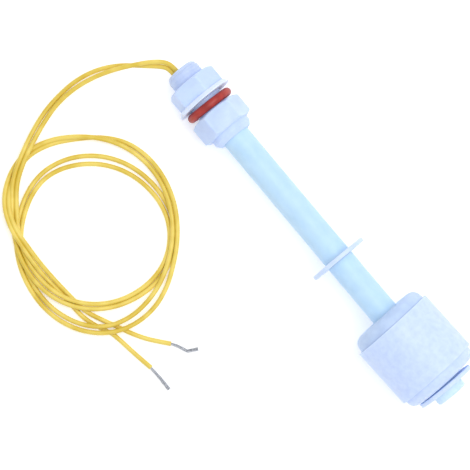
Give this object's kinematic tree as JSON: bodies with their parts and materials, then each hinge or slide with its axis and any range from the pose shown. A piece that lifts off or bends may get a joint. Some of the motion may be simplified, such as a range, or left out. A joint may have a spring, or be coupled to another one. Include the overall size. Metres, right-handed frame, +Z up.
{
  "type": "float level switch",
  "caption": "Liquid level switch: a magnetic float slides on a plastic stem with a reed contact inside, below a threaded head with nut, seal and two leads.",
  "frame": {"origin": "on the floor that the switch lies on, below the middle of its length and of its width; the leads lie beside it", "axes": "+X along the stem from the threaded head to the float, +Y sideways away from the coil of leads, +Z up from the floor"},
  "size_m": [0.1318, 0.083, 0.0248],
  "materials": {
    "white_plastic": "smooth moulded polypropylene, slightly translucent, faint blue cast",
    "stem_plastic": "extruded polypropylene tube, satin",
    "float_plastic": "moulded polypropylene, fine matt",
    "red_rubber": "matt silicone rubber",
    "ferrite": "sintered ferrite, dark grey",
    "reed_glass": "clear greenish glass",
    "reed_metal": "plated nickel-iron",
    "solder": "bright solder",
    "tinned_copper": "tinned copper strands",
    "yellow_insulation": "soft yellow PVC insulation, satin",
    "clear_sleeve": "thin milky sleeve",
    "resin": "black epoxy"
  },
  "bodies": {
    "root": {"threaded_head": "white_plastic", "sealing_ring": "red_rubber", "stem_tube": "stem_plastic", "end_plug": "white_plastic", "upper_stop_ring": "white_plastic", "lower_stop_ring": "white_plastic", "insulating_sleeve": "clear_sleeve", "potting_plug": "resin", "reed_glass": "reed_glass", "reed_blade_upper": "reed_metal", "reed_blade_lower": "reed_metal", "inner_wire_a": "yellow_insulation", "inner_wire_b": "yellow_insulation", "conductor_a": "tinned_copper", "conductor_b": "tinned_copper", "solder_joint_upper": "solder", "solder_joint_lower": "solder", "lead_wire_a": "yellow_insulation", "lead_wire_b": "yellow_insulation", "wire_coil": "yellow_insulation", "wire_tail_a": "yellow_insulation", "wire_tail_b": "yellow_insulation", "bare_end_a": "tinned_copper", "bare_end_b": "tinned_copper"},
    "nut": {"lock_nut": "white_plastic"},
    "magnet": {"ring_magnet": "ferrite"},
    "float": {"float_cup": "float_plastic", "float_cap": "float_plastic"}
  },
  "joints": [
    {"name": "lock_nut_turn", "type": "hinge", "parent": "root", "child": "nut", "pos_m": [-0.04981, 0, 0.00823], "axis": [0.999, 0, 0.0457], "continuous": true},
    {"name": "float_slide", "type": "slide", "parent": "root", "child": "magnet", "axis": [-0.999, 0, -0.0457], "range_m": [0, 0.0182]},
    {"name": "float_spin", "type": "hinge", "parent": "magnet", "child": "float", "pos_m": [0.04099, 0, 0.01238], "axis": [0.9983, 0.0366, 0.0457], "continuous": true}
  ]
}
